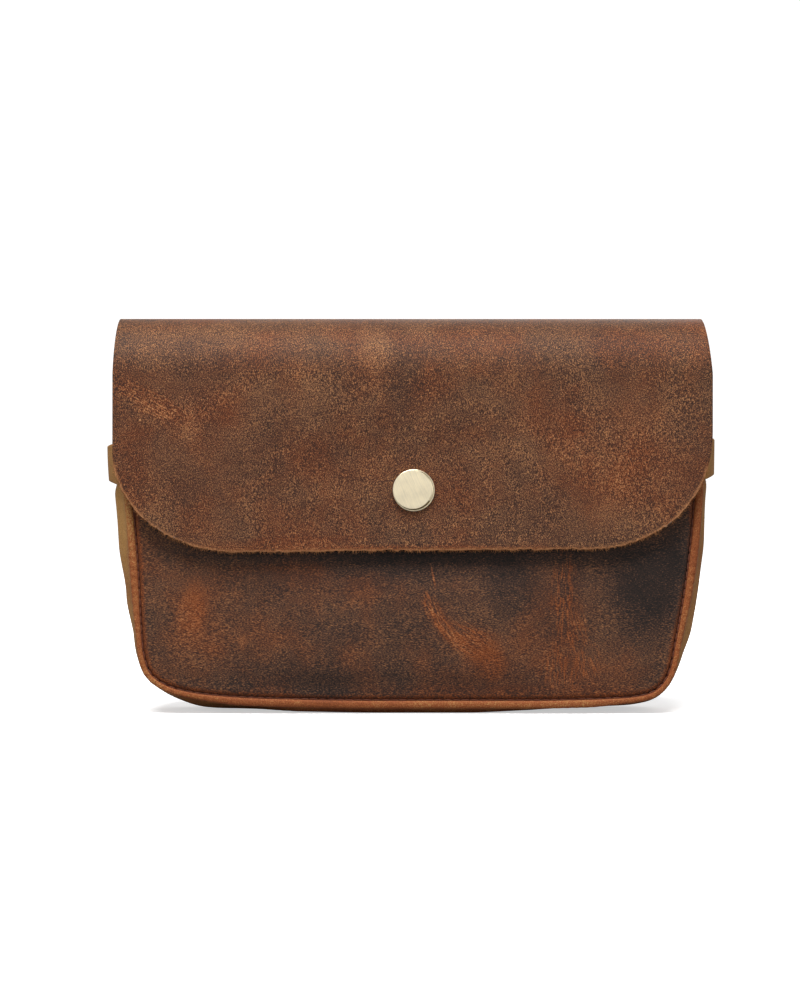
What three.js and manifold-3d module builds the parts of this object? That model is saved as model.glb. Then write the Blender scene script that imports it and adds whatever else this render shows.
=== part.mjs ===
// A closed leather flap pouch that stands on its base: one leather piece makes the back, the fold and the flap,
// and a gusset joins it to the front panel along turned seams. Two side loops and a brass snap complete it.
// Millimetres. +X to the right, -Y to the front, +Z up. The origin is under the middle of the base.
import * as THREE from "three";
import { mergeVertices } from "three/addons/utils/BufferGeometryUtils.js";
import Module from "manifold-3d";

const wasm = await Module();
wasm.setup();

// Whole pouch
const pouchHeight = 143;
const pouchDepth = 42.4;
const clearance = 0.3;

// Leather thicknesses
const panelLeather = 1.7;
const gussetLeather = 1.3;
const loopLeather = 1.6;

// Body: the seams between the panels and the gusset
const seamHalfWidth = 101.8;
const mouthDrop = 31;
const panelRimRadius = 2.2;
const gussetRimRadius = 1.5;
const seamAllowance = 4.3;
const bodySetback = 4.6;
const baseBulge = 4.95;
const sideBulge = 8.4;
const baseRamp = 0.1;
const sideRamp = 0.36;
const flatHalfLength = 38;
const rampLength = 26;

// Front panel
const bellyDepth = 1.2;
const bellyHeight = 34;
const bellyWidth = 63;
const bellySpread = 42;

// Flap
const flapEdgeHeight = 58.2;
const flapEdgeRise = 1.2;
const leftCornerWidth = 44;
const leftCornerHeight = 36;
const rightCornerWidth = 45;
const rightCornerHeight = 42.5;
const leftCornerPower = 2;
const rightCornerPower = 2.15;
const leftFoldTaper = 0.8;
const rightFoldTaper = 2;
const unrollLength = 18;
const flapPinch = 1.4;
const pinchWidth = 32;
const pinchHeight = 18;
const snapFlat = 8;

// Side loops
const leftLoopReach = 9.9;
const rightLoopReach = 8.95;
const loopHeightMiddle = 13.8;
const loopHeightEnd = 16.8;
const leftLoopDrop = 22.4;
const rightLoopDrop = 20;

// The gusset's inward crease behind the loops
const creaseDepth = 5.3;
const creaseWidth = 6.9;
const creaseLowDrop = 54;
const creaseFullDrop = 32;

// Snap
const snapAcross = 0.4;
const snapAboveEdge = 22.1;
const capRadius = 7.5;
const capThickness = 1.3;
const capEdge = 0.45;
const postRadius = 1.6;
const socketRadius = 5.6;
const socketThickness = 1.3;
const recessRadius = 2.9;
const recessDepth = 0.8;
const studRadius = 4.6;
const studPlate = 0.7;
const nubHeight = 1;
const backPlateRadius = 4.4;
const backPlate = 0.6;
const snapSides = 28;

// Where the leather lies in depth. The loops stand out behind the back face, so the leather sits a little forward.
const mouthHeight = pouchHeight - mouthDrop;
const leatherMiddle = -(loopLeather + clearance) / 2;
const backFace = leatherMiddle + pouchDepth / 2;
const flapFace = leatherMiddle - pouchDepth / 2;
const frontRimFace = flapFace + bodySetback;
const seamGap = clearance / 2;
const gussetRim = seamGap + 2 * gussetRimRadius;
const panelRing = seamGap + panelRimRadius;
const seamFloor = baseBulge;
const foldRadius = pouchDepth / 2;
const foldCentre = pouchHeight - foldRadius;
const quarterTurn = (Math.PI / 2) * panelRimRadius;
const cutHalfWidth = seamHalfWidth - panelRing + quarterTurn + seamAllowance;

// Snap stack, from the flap inwards
const snapHeight = flapEdgeHeight + snapAboveEdge;
const capSeat = flapFace + flapPinch - clearance;
const socketSeat = flapFace + flapPinch + panelLeather + clearance;
const studSeat = socketSeat + socketThickness + clearance;
const panelAtSnap = studSeat + studPlate + clearance;
const snapDish = panelAtSnap - frontRimFace;

// The seam line, from the left end of the mouth round the base to the right end.
// across: share of seamHalfWidth. up: share of the height from the base seam to the mouth.
const seamRows = [
  { across: -1, up: 1 },
  { across: -0.998, up: 0.795 },
  { across: -0.981, up: 0.604 },
  { across: -0.967, up: 0.421 },
  { across: -0.957, up: 0.243 },
  { across: -0.947, up: 0.149 },
  { across: -0.924, up: 0.09 },
  { across: -0.872, up: 0.052 },
  { across: -0.786, up: 0.028 },
  { across: -0.62, up: 0.0115 },
  { across: -0.3, up: 0.002 },
  { across: -0.15, up: 0 },
  { across: 0, up: 0 },
  { across: 0.3, up: 0 },
  { across: 0.45, up: 0 },
  { across: 0.56, up: 0.002 },
  { across: 0.688, up: 0.006 },
  { across: 0.79, up: 0.013 },
  { across: 0.851, up: 0.03 },
  { across: 0.89, up: 0.066 },
  { across: 0.912, up: 0.117 },
  { across: 0.926, up: 0.187 },
  { across: 0.955, up: 0.337 },
  { across: 0.982, up: 0.533 },
  { across: 0.995, up: 0.7 },
  { across: 1, up: 1 },
];

// How far the gusset bulges beyond the seam line. along: share of the seam line from the left end.
// swell: 0 where it bulges as the base does, 1 where it bulges most, and less than 0 where it is drawn in.
const bulgeRows = [
  { along: 0, swell: -0.07 },
  { along: 0.035, swell: 0.1 },
  { along: 0.07, swell: 0.19 },
  { along: 0.088, swell: 0.88 },
  { along: 0.13, swell: 0.91 },
  { along: 0.18, swell: 0.48 },
  { along: 0.225, swell: 0.04 },
  { along: 0.27, swell: 0 },
  { along: 0.55, swell: 0 },
  { along: 0.63, swell: -0.33 },
  { along: 0.69, swell: -0.3 },
  { along: 0.74, swell: 0 },
  { along: 0.79, swell: 0.36 },
  { along: 0.84, swell: 0.48 },
  { along: 0.905, swell: 0.65 },
  { along: 0.922, swell: 0.71 },
  { along: 0.94, swell: 0.19 },
  { along: 1, swell: -0.07 },
];

// Mesh steps
const sideSteps = 12;
const baseSteps = 18;
const rimSteps = 3;
const gussetSteps = 10;
const foldSteps = 20;
const loopSteps = 5;

const smooth = (t) => {
  const k = THREE.MathUtils.clamp(t, 0, 1);
  return k * k * (3 - 2 * k);
};
const hill = (distance) => Math.exp(-distance * distance);
const seq = (count) => Array.from({ length: count + 1 }, (_, i) => i / count);

// The value of a column where another column reaches a place, eased between the rows.
function tableAt(rows, key, value, place) {
  const after = Math.max(1, rows.findIndex((row) => row[key] >= place));
  const a = rows[after - 1];
  const b = rows[after];
  const t = smooth((place - a[key]) / (b[key] - a[key]));
  return THREE.MathUtils.lerp(a[value], b[value], t);
}

const seamCurve = new THREE.CatmullRomCurve3(
  seamRows.map(({ across, up }) => {
    const height = THREE.MathUtils.lerp(seamFloor, mouthHeight, up);
    return new THREE.Vector3(across * seamHalfWidth, 0, height);
  }),
  false,
  "centripetal",
);
seamCurve.arcLengthDivisions = 600;

// A place on the seam line and the outward direction there, in the X-Z plane.
function seamAt(along) {
  const place = seamCurve.getPointAt(along);
  const way = seamCurve.getTangentAt(along);
  const out = new THREE.Vector3(way.z, 0, -way.x);
  if (out.dot(new THREE.Vector3(place.x, 0, place.z - mouthHeight)) < 0) out.negate();
  return { place, out };
}

// The point at a distance outside the seam line, at a depth.
function offSeam(along, distance, depth) {
  const { place, out } = seamAt(along);
  return new THREE.Vector3(place.x + out.x * distance, depth, place.z + out.z * distance);
}

// The share of the seam line where a lower corner faces halfway between the side and the base.
function cornerAt(side) {
  const shares = seq(400).filter((share) => (share < 0.5) === side < 0);
  const slant = (share) => {
    const { out } = seamAt(share);
    return Math.abs(Math.abs(out.x) - Math.abs(out.z));
  };
  return shares.reduce((best, share) => (slant(share) < slant(best) ? share : best));
}
const leftCorner = cornerAt(-1);
const rightCorner = cornerAt(1);

// Steps along the seam line, closer together towards the corners.
const towardsCorner = (t) => 1 - (1 - t) ** 1.25;
const closeAtEnds = (t) => t - (0.6 * Math.sin(2 * Math.PI * t)) / (2 * Math.PI);
const leftShares = seq(sideSteps).map((t) => leftCorner * towardsCorner(t));
const rightShares = seq(sideSteps).map((t) => 1 - (1 - rightCorner) * towardsCorner(t));
const baseShares = seq(baseSteps).map((t) => THREE.MathUtils.lerp(leftCorner, rightCorner, closeAtEnds(t)));
const allShares = [...leftShares, ...baseShares.slice(1, -1), ...rightShares.slice().reverse()];

// A grid of points as triangles. Rows run one way, and turned grids face the other way.
function gridTriangles(rows, turned = false) {
  const corners = [];
  for (let i = 0; i + 1 < rows.length; i++) {
    for (let j = 0; j + 1 < rows[i].length; j++) {
      const [a, b] = [rows[i][j], rows[i][j + 1]];
      const [c, d] = [rows[i + 1][j + 1], rows[i + 1][j]];
      const faces = turned ? [a, c, b, a, d, c] : [a, b, c, a, c, d];
      corners.push(...faces);
    }
  }
  return corners;
}

// Joins triangles that share corners, gives them a leather thickness on the flesh side and closes the cut edges.
function leatherSheet(corners, thickness) {
  const loose = new THREE.BufferGeometry().setFromPoints(corners);
  const face = mergeVertices(loose, 1e-3);
  face.computeVertexNormals();
  const at = face.getAttribute("position");
  const normal = face.getAttribute("normal");
  const count = at.count;
  const points = [];
  for (const depth of [0, thickness]) {
    for (let i = 0; i < count; i++) {
      points.push(at.getX(i) - depth * normal.getX(i));
      points.push(at.getY(i) - depth * normal.getY(i));
      points.push(at.getZ(i) - depth * normal.getZ(i));
    }
  }
  const index = face.index.array;
  const faces = [];
  const edges = new Map();
  for (let f = 0; f < index.length; f += 3) {
    const tri = [index[f], index[f + 1], index[f + 2]];
    if (new Set(tri).size < 3) continue;
    faces.push(...tri, tri[2] + count, tri[1] + count, tri[0] + count);
    tri.forEach((from, k) => edges.set(`${from} ${tri[(k + 1) % 3]}`, [from, tri[(k + 1) % 3]]));
  }
  for (const [from, to] of edges.values()) {
    if (edges.has(`${to} ${from}`)) continue;
    faces.push(to, from, from + count, to, from + count, to + count);
  }
  const sheet = new THREE.BufferGeometry();
  sheet.setAttribute("position", new THREE.Float32BufferAttribute(points, 3));
  sheet.setIndex(faces);
  return sheet;
}

// A surface inside four border lines of points: two lines that run across and two that run up.
function patch(bottom, top, left, right) {
  const across = bottom.length - 1;
  const up = left.length - 1;
  return seq(up).map((v, j) =>
    seq(across).map((u, i) => {
      const sum = new THREE.Vector3();
      sum.addScaledVector(bottom[i], 1 - v).addScaledVector(top[i], v);
      sum.addScaledVector(left[j], 1 - u).addScaledVector(right[j], u);
      sum.addScaledVector(bottom[0], -(1 - u) * (1 - v)).addScaledVector(bottom[across], -u * (1 - v));
      sum.addScaledVector(top[0], -(1 - u) * v).addScaledVector(top[across], -u * v);
      return sum;
    }),
  );
}

// The turned rim of a panel, from its flat face round into the seam: distance outside the seam line, and depth.
// inwards is +1 on the front panel and -1 on the back panel.
function rimSection(face, inwards) {
  const arc = seq(rimSteps).map((t) => {
    const turn = (t * Math.PI) / 2;
    const out = -panelRing + panelRimRadius * Math.sin(turn);
    return { out, depth: face + inwards * panelRimRadius * (1 - Math.cos(turn)) };
  });
  const end = { out: -seamGap, depth: face + inwards * (panelRimRadius + seamAllowance) };
  return [...arc, end];
}

// A panel with rounded lower corners and a turned rim, as triangles of its outer face.
function panelTriangles(face, inwards, dish) {
  const section = rimSection(face, inwards);
  const ring = (shares) => shares.map((share) => offSeam(share, section[0].out, face));
  const [left, right] = [leftShares, rightShares].map((shares) => ring(shares).reverse());
  const bottom = ring(baseShares);
  const topLeft = left[left.length - 1];
  const topRight = right[right.length - 1];
  const top = seq(baseSteps).map((t) => new THREE.Vector3().lerpVectors(topLeft, topRight, closeAtEnds(t)));
  const middle = patch(bottom, top, left, right);
  for (const row of middle.slice(1)) {
    for (const point of row.slice(1, -1)) point.y += dish(point.x, point.z);
  }
  const rim = section.map(({ out, depth }) => allShares.map((share) => offSeam(share, out, depth)));
  const turned = inwards < 0;
  return { middle, rim, corners: [...gridTriangles(middle, turned), ...gridTriangles(rim, !turned)] };
}

// How strongly the snap pulls the leather in at a place: all the way around the snap, and fading out beyond it.
function snapPull(x, z) {
  const beside = Math.max(0, Math.abs(x - snapAcross) - snapFlat);
  const above = Math.max(0, Math.abs(z - snapHeight) - snapFlat);
  return hill(Math.hypot(beside / pinchWidth, above / pinchHeight));
}

// The front panel swells below the snap and is pressed back where the stud sits.
const belly = (x, z) => -bellyDepth * hill(Math.hypot(x / bellyWidth, (z - bellyHeight) / bellySpread));
function frontDish(x, z) {
  const pull = snapPull(x, z);
  return (1 - pull) * belly(x, z) + pull * snapDish;
}
const still = () => 0;

// The side view of the back, fold and flap: the place and the outward direction at a length above the mouth.
const riseLength = foldCentre - mouthHeight;
const foldLength = Math.PI * foldRadius;
function profileAt(length) {
  if (length < riseLength) {
    return { y: backFace, z: mouthHeight + length, outY: 1, outZ: 0 };
  }
  const turn = Math.min((length - riseLength) / foldRadius, Math.PI);
  const below = Math.max(0, length - riseLength - foldLength);
  const outY = Math.cos(turn);
  const outZ = Math.sin(turn);
  const y = leatherMiddle + foldRadius * outY;
  return { y, z: foldCentre + foldRadius * outZ - below, outY, outZ };
}
const lengthAtHeight = (z) => riseLength + foldLength + foldCentre - z;

// The flap's cut outline. Lengths run from the mouth over the fold to the edge.
const corner = (x) =>
  x < 0
    ? { wide: leftCornerWidth, high: leftCornerHeight, power: leftCornerPower }
    : { wide: rightCornerWidth, high: rightCornerHeight, power: rightCornerPower };
const superCurve = (t, power) => (1 - Math.min(1, Math.abs(t)) ** power) ** (1 / power);
const edgeHeight = (x) => flapEdgeHeight + flapEdgeRise * smooth((x + cutHalfWidth) / (2 * cutHalfWidth));
function edgeLength(x) {
  const { wide, high, power } = corner(x);
  const inset = Math.max(0, Math.abs(x) - (cutHalfWidth - wide)) / wide;
  return lengthAtHeight(edgeHeight(x) + high * (1 - superCurve(inset, power)));
}
function edgeHalfWidth(length, side) {
  const { wide, high, power } = corner(side);
  const start = lengthAtHeight(edgeHeight(side * cutHalfWidth) + high);
  const drop = Math.max(0, length - start) / high;
  return cutHalfWidth - wide * (1 - superCurve(drop, power));
}

// The back panel, the fold and the flap are one piece of leather.
function backAndFlapTriangles() {
  const { middle, rim, corners } = panelTriangles(backFace, -1, still);
  const leftRim = rim.map((row) => row[0]).reverse();
  const rightRim = rim.map((row) => row[row.length - 1]);
  const join = [...leftRim.slice(0, -1), ...middle[middle.length - 1], ...rightRim.slice(1)];
  // Where each column lies across the flat leather, once its rim is rolled out.
  const flat = [];
  const ringHalf = seamHalfWidth - panelRing;
  join.forEach((point, i) => {
    const side = i < join.length / 2 ? -1 : 1;
    const fromEnd = Math.min(i, join.length - 1 - i);
    const arcStep = rimSteps - fromEnd + 1;
    const rolled = ringHalf + (arcStep / rimSteps) * quarterTurn;
    if (fromEnd === 0) flat.push(side * cutHalfWidth);
    else flat.push(arcStep > 0 ? side * rolled : point.x);
  });
  const halfway = Math.SQRT1_2;
  const ends = [-1, 1].map((side) => {
    const { wide, power } = corner(side);
    const x = side * (cutHalfWidth - wide * (1 - halfway ** (2 / power)));
    return { x, length: edgeLength(x) };
  });
  const across = (x) => (x + cutHalfWidth) / (2 * cutHalfWidth);
  const spread = flat.map((x) => {
    const edge = THREE.MathUtils.lerp(ends[0].x, ends[1].x, across(x));
    return { u: across(x), start: x, edge, full: edgeLength(edge) };
  });
  const rows = seq(foldSteps).map((v) =>
    spread.map(({ u, start, edge, full }, i) => {
      const leftWide = -edgeHalfWidth(v * ends[0].length, -1);
      const rightWide = edgeHalfWidth(v * ends[1].length, 1);
      const sides = (1 - u) * (leftWide + (1 - v) * cutHalfWidth - v * ends[0].x);
      const others = u * (rightWide - (1 - v) * cutHalfWidth - v * ends[1].x);
      const x = (1 - v) * start + v * edge + sides + others;
      const length = v * full;
      const roll = 1 - smooth(length / unrollLength);
      const { y, z, outY, outZ } = profileAt(length);
      const sink = roll * (backFace - join[i].y);
      const point = new THREE.Vector3(x, y - sink * outY, z - sink * outZ);
      point.x += roll * (join[i].x - start);
      point.x -= Math.max(0, outZ) * (u * rightFoldTaper - (1 - u) * leftFoldTaper);
      point.z += roll * (join[i].z - mouthHeight);
      if (outY < 0) point.y += flapPinch * snapPull(point.x, point.z);
      return point;
    }),
  );
  return [...corners, ...gridTriangles(rows, true)];
}

// Across the gusset: its front rim turns in, its middle spans the depth, and its back rim turns in.
function gussetSection(along) {
  const bulge = THREE.MathUtils.lerp(baseBulge, sideBulge, tableAt(bulgeRows, "along", "swell", along));
  const { place } = seamAt(along);
  const creaseLow = mouthHeight - creaseLowDrop;
  const crease = creaseDepth * smooth((place.z - creaseLow) / (creaseLowDrop - creaseFullDrop));
  const fromFlat = (Math.abs(place.x) - flatHalfLength) / rampLength;
  const ramp = THREE.MathUtils.lerp(baseRamp, sideRamp, smooth(fromFlat));
  const middle = (frontRimFace + backFace) / 2;
  const half = (backFace - frontRimFace) / 2;
  const fromFront = [{ out: seamGap, depth: -half + gussetRimRadius + seamAllowance }];
  for (const t of seq(rimSteps + 1)) {
    const turn = t * Math.PI;
    const out = seamGap + gussetRimRadius * (1 - Math.cos(turn));
    fromFront.push({ out, depth: -half + gussetRimRadius * (1 - Math.sin(turn)) });
  }
  const span = seq(gussetSteps).map((t) => {
    const dome = smooth(Math.min(t, 1 - t) / ramp);
    const depth = THREE.MathUtils.lerp(-1, 1, t) * (half - gussetRimRadius);
    const out = gussetRim + (bulge - gussetRim) * dome - crease * hill(depth / creaseWidth);
    return { out, depth };
  });
  const toBack = fromFront.map(({ out, depth }) => ({ out, depth: -depth })).reverse();
  const whole = [...fromFront, ...span.slice(1, -1), ...toBack];
  return whole.map(({ out, depth }) => ({ out, depth: depth + middle }));
}

function gussetTriangles() {
  const rows = allShares.map((along) =>
    gussetSection(along).map(({ out, depth }) => offSeam(along, out, depth)),
  );
  return gridTriangles(rows, false);
}

// A loop's middle line seen from above, from the front seam to its outermost place.
function loopPath(loopReach) {
  const wrap = gussetRimRadius + clearance + loopLeather / 2;
  const centre = { out: seamGap + gussetRimRadius, depth: frontRimFace + gussetRimRadius };
  const [tuckedIn, leaves] = [145, 30];
  const arc = seq(loopSteps).map((t) => {
    const turn = THREE.MathUtils.degToRad(THREE.MathUtils.lerp(tuckedIn, leaves, t));
    return { out: centre.out + wrap * Math.cos(turn), depth: centre.depth - wrap * Math.sin(turn) };
  });
  const end = arc[arc.length - 1];
  const middle = (frontRimFace + backFace) / 2;
  const reach = loopReach - loopLeather / 2;
  const bow = seq(loopSteps).map((t) => ({
    out: THREE.MathUtils.lerp(end.out, reach, Math.sin((t * Math.PI) / 2)),
    depth: THREE.MathUtils.lerp(end.depth, middle, t),
  }));
  const half = [...arc, ...bow.slice(1)];
  const mirrored = half.map(({ out, depth }) => ({ out, depth: 2 * middle - depth })).reverse();
  return [...half, ...mirrored.slice(1)];
}

// Half the width between the seams at a height, on one side.
function seamHalfAt(side, height) {
  const fromMouth = (t) => seamAt(side < 0 ? t : 1 - t).place;
  const corner = side < 0 ? leftCorner : 1 - rightCorner;
  let [above, below] = [0, corner];
  for (let step = 0; step < 20; step++) {
    const between = (above + below) / 2;
    if (fromMouth(between).z > height) above = between;
    else below = between;
  }
  return Math.abs(fromMouth(above).x);
}

function loopTriangles(side, loopReach, drop) {
  const centreHeight = mouthHeight - drop;
  const path = loopPath(loopReach);
  const rows = path.map(({ out, depth }, i) => {
    const ahead = path[Math.min(i + 1, path.length - 1)];
    const behind = path[Math.max(i - 1, 0)];
    const way = new THREE.Vector2(ahead.out - behind.out, ahead.depth - behind.depth).normalize();
    const face = { out: out + (way.y * loopLeather) / 2, depth: depth - (way.x * loopLeather) / 2 };
    const bow = Math.sin((Math.PI * i) / (path.length - 1));
    const height = THREE.MathUtils.lerp(loopHeightEnd, loopHeightMiddle, bow ** 2);
    return [-1, 0, 1].map((t) => {
      const z = centreHeight + (t * height) / 2;
      return new THREE.Vector3(side * (seamHalfAt(side, z) + face.out), face.depth, z);
    });
  });
  return gridTriangles(rows, side > 0);
}

// Snap pieces are turned about a line along the depth. Rows are radius and depth, from the front on the line.
function turnedPiece(profile) {
  const points = profile.map(([radius, depth]) => new THREE.Vector2(radius, depth));
  return new THREE.LatheGeometry(points, snapSides);
}

const snapCap = turnedPiece([
  [0, capSeat - capThickness],
  [capRadius - capEdge, capSeat - capThickness],
  [capRadius, capSeat - capThickness + capEdge],
  [capRadius, capSeat],
  [postRadius, capSeat],
  [postRadius, socketSeat + socketThickness - recessDepth - clearance],
  [0, socketSeat + socketThickness - recessDepth - clearance],
]);
const socketBack = socketSeat + socketThickness;
const snapSocket = turnedPiece([
  [postRadius + clearance, socketSeat],
  [socketRadius, socketSeat],
  [socketRadius, socketBack],
  [recessRadius, socketBack],
  [recessRadius, socketBack - recessDepth],
  [postRadius + clearance, socketBack - recessDepth],
  [postRadius + clearance, socketSeat],
]);
const panelInside = panelAtSnap + panelLeather;
const snapStud = turnedPiece([
  [0, studSeat - nubHeight + clearance],
  [recessRadius - clearance, studSeat - nubHeight + clearance],
  [recessRadius - clearance, studSeat],
  [studRadius, studSeat],
  [studRadius, studSeat + studPlate],
  [postRadius, studSeat + studPlate],
  [postRadius, panelInside + clearance],
  [backPlateRadius, panelInside + clearance],
  [backPlateRadius, panelInside + clearance + backPlate],
  [0, panelInside + clearance + backPlate],
]);

function toSolid(geometry) {
  const bare = geometry.clone();
  bare.deleteAttribute("normal");
  bare.deleteAttribute("uv");
  const merged = mergeVertices(bare, 1e-3);
  const vertProperties = merged.getAttribute("position").array;
  const triVerts = new Uint32Array(merged.index.array);
  return new wasm.Manifold(new wasm.Mesh({ numProp: 3, vertProperties, triVerts }));
}

function toGeometry(solid) {
  const { vertProperties, triVerts } = solid.getMesh();
  const geometry = new THREE.BufferGeometry();
  geometry.setAttribute("position", new THREE.BufferAttribute(vertProperties, 3));
  geometry.setIndex(new THREE.BufferAttribute(triVerts, 1));
  geometry.computeVertexNormals();
  return geometry;
}

// A round hole through a leather sheet at the snap, with clearance for the post.
function punched(sheet, face) {
  const punch = new THREE.CylinderGeometry(
    postRadius + clearance,
    postRadius + clearance,
    4 * panelLeather,
    snapSides,
  );
  punch.translate(snapAcross, face, snapHeight);
  return toGeometry(toSolid(sheet).subtract(toSolid(punch)));
}

const suede = { roughness: 0.78, metalness: 0 };
const flapLeather = new THREE.MeshStandardMaterial({ color: "#6b4733", ...suede });
const frontLeather = new THREE.MeshStandardMaterial({ color: "#4f3a2c", ...suede });
const gussetTan = new THREE.MeshStandardMaterial({ color: "#8f6638", ...suede });
const loopTan = new THREE.MeshStandardMaterial({ color: "#8a6035", ...suede });
const paleBrass = new THREE.MeshStandardMaterial({ color: "#d9c391", roughness: 0.32, metalness: 1 });
const darkBrass = new THREE.MeshStandardMaterial({ color: "#8d7a4c", roughness: 0.45, metalness: 1 });

function piece(name, geometry, material) {
  const mesh = new THREE.Mesh(geometry, material);
  mesh.name = name;
  return mesh;
}

const flapSheet = leatherSheet(backAndFlapTriangles(), panelLeather);
const frontSheet = leatherSheet(panelTriangles(frontRimFace, 1, frontDish).corners, panelLeather);
const gussetSheet = leatherSheet(gussetTriangles(), gussetLeather);

const pouch = new THREE.Group();
pouch.add(piece("back_and_flap", punched(flapSheet, flapFace + panelLeather / 2), flapLeather));
pouch.add(piece("front_panel", punched(frontSheet, panelAtSnap + panelLeather / 2), frontLeather));
pouch.add(piece("gusset", gussetSheet, gussetTan));
const leftLoop = leatherSheet(loopTriangles(-1, leftLoopReach, leftLoopDrop), loopLeather);
const rightLoop = leatherSheet(loopTriangles(1, rightLoopReach, rightLoopDrop), loopLeather);
pouch.add(piece("loop_left", leftLoop, loopTan));
pouch.add(piece("loop_right", rightLoop, loopTan));

const snap = new THREE.Group();
snap.position.set(snapAcross, 0, snapHeight);
snap.add(piece("snap_cap", snapCap, paleBrass));
snap.add(piece("snap_socket", snapSocket, darkBrass));
snap.add(piece("snap_stud", snapStud, darkBrass));
pouch.add(snap);

export default pouch;
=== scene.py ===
import math

import bmesh
import bpy
import numpy as np
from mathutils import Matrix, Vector


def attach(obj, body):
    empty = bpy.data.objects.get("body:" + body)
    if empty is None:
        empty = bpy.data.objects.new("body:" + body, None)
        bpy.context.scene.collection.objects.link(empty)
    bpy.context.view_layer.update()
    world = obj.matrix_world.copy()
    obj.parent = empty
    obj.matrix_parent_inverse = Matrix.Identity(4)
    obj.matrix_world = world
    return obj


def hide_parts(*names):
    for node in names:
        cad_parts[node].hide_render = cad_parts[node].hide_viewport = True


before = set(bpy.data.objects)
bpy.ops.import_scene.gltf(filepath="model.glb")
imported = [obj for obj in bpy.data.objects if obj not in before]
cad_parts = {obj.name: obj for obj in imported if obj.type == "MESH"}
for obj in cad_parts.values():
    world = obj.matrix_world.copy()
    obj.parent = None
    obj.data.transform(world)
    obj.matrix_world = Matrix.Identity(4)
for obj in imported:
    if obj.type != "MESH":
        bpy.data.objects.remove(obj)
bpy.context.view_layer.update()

bl_info = {
    "name": "Leather flap pouch",
    "version": (1, 0, 0),
    "blender": (4, 5, 0),
    "location": "3D View > Sidebar > Pouch",
    "description": "Dresses the solids of a worn leather flap pouch",
    "category": "Object",
}

MM = 0.001

# The pouch's shape in millimetres. The leather pieces are laid on the same lines as its solids.
HEIGHT = 143.0
DEPTH = 42.4
GAP = 0.3
LOOP_LEATHER = 1.6
SEAM_HALF = 101.8
MOUTH = 112.0
PANEL_RIM = 2.2
GUSSET_RIM = 1.5
ALLOWANCE = 4.3
SEAM_FLOOR = 4.95
SIDE_BULGE = 8.4
MIDDLE_Y = -(LOOP_LEATHER + GAP) / 2
BACK_Y = MIDDLE_Y + DEPTH / 2
FLAP_Y = MIDDLE_Y - DEPTH / 2
FRONT_Y = FLAP_Y + 4.6
SEAM_GAP = GAP / 2
PANEL_RING = SEAM_GAP + PANEL_RIM
FOLD_RADIUS = DEPTH / 2
FOLD_Z = HEIGHT - FOLD_RADIUS
CUT_HALF = SEAM_HALF - PANEL_RING + math.pi / 2 * PANEL_RIM + ALLOWANCE
RIM_SQUARENESS = 2 / 2.7
SNAP_X = 0.4
SNAP_Z = 80.3
PANEL_AT_SNAP = -16.15
CAP_SEAT = -21.05

# The seam line: share of its half width, and share of the height from the base seam to the mouth
SEAM_ROWS = (
    (-1, 1), (-0.998, 0.795), (-0.981, 0.604), (-0.967, 0.421), (-0.957, 0.243), (-0.947, 0.149),
    (-0.924, 0.09), (-0.872, 0.052), (-0.786, 0.028), (-0.62, 0.0115), (-0.3, 0.002), (-0.15, 0),
    (0, 0), (0.3, 0), (0.45, 0), (0.56, 0.002), (0.688, 0.006), (0.79, 0.013), (0.851, 0.03),
    (0.89, 0.066), (0.912, 0.117), (0.926, 0.187), (0.955, 0.337), (0.982, 0.533), (0.995, 0.7), (1, 1),
)
# How far the gusset stands out beyond the seam: share of the seam line, and swell
SWELL_ROWS = (
    (0, -0.07), (0.035, 0.1), (0.064, 0.42), (0.084, 0.88), (0.13, 0.86), (0.18, 0.32), (0.22, -0.24),
    (0.262, -0.34), (0.308, 0.25), (0.365, 0), (0.55, 0), (0.63, -0.33), (0.69, -0.3), (0.74, -0.28),
    (0.793, 0.37), (0.84, 0.48),
    (0.905, 0.65), (0.922, 0.71), (0.94, 0.19), (1, -0.07),
)


def smooth(t):
    k = np.clip(t, 0, 1)
    return k * k * (3 - 2 * k)


def hill(distance):
    return np.exp(-np.square(distance))


def lerp(a, b, t):
    return a + (b - a) * t


def squared(wave):
    """A sine or cosine for a rim that is squarer than a round one."""
    return np.sign(wave) * np.abs(np.round(wave, 9)) ** RIM_SQUARENESS


def eased(rows, place):
    """The second column of a table where its first reaches a place, eased between the rows."""
    keys, values = np.array(rows, float).T
    after = np.clip(np.searchsorted(keys, place), 1, len(keys) - 1)
    t = smooth((place - keys[after - 1]) / (keys[after] - keys[after - 1]))
    return lerp(values[after - 1], values[after], t)


def flowing_line(points, steps=300):
    """A centripetal curve through the points."""
    ends = np.vstack([2 * points[0] - points[1], points, 2 * points[-1] - points[-2]])
    t = np.linspace(0, 1, steps, endpoint=False)[:, None]
    parts = []
    for a, b, c, d in zip(ends, ends[1:], ends[2:], ends[3:]):
        near, here, far = (math.sqrt(np.linalg.norm(q - p)) for p, q in ((a, b), (b, c), (c, d)))
        leave = ((b - a) / near - (c - a) / (near + here) + (c - b) / here) * here
        arrive = ((c - b) / here - (d - b) / (here + far) + (d - c) / far) * here
        square = -3 * b + 3 * c - 2 * leave - arrive
        cube = 2 * b - 2 * c + leave + arrive
        parts.append(b + leave * t + square * t**2 + cube * t**3)
    return np.vstack([*parts, points[-1:]])


SEAM_LINE = flowing_line(np.array([(a * SEAM_HALF, lerp(SEAM_FLOOR, MOUTH, up)) for a, up in SEAM_ROWS]))
SEAM_REACH = np.concatenate([[0], np.cumsum(np.linalg.norm(np.diff(SEAM_LINE, axis=0), axis=1))])
SEAM_LENGTH = SEAM_REACH[-1]
SEAM_WAY = np.gradient(SEAM_LINE, SEAM_REACH, axis=0)
SEAM_WAY /= np.linalg.norm(SEAM_WAY, axis=1)[:, None]


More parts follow.
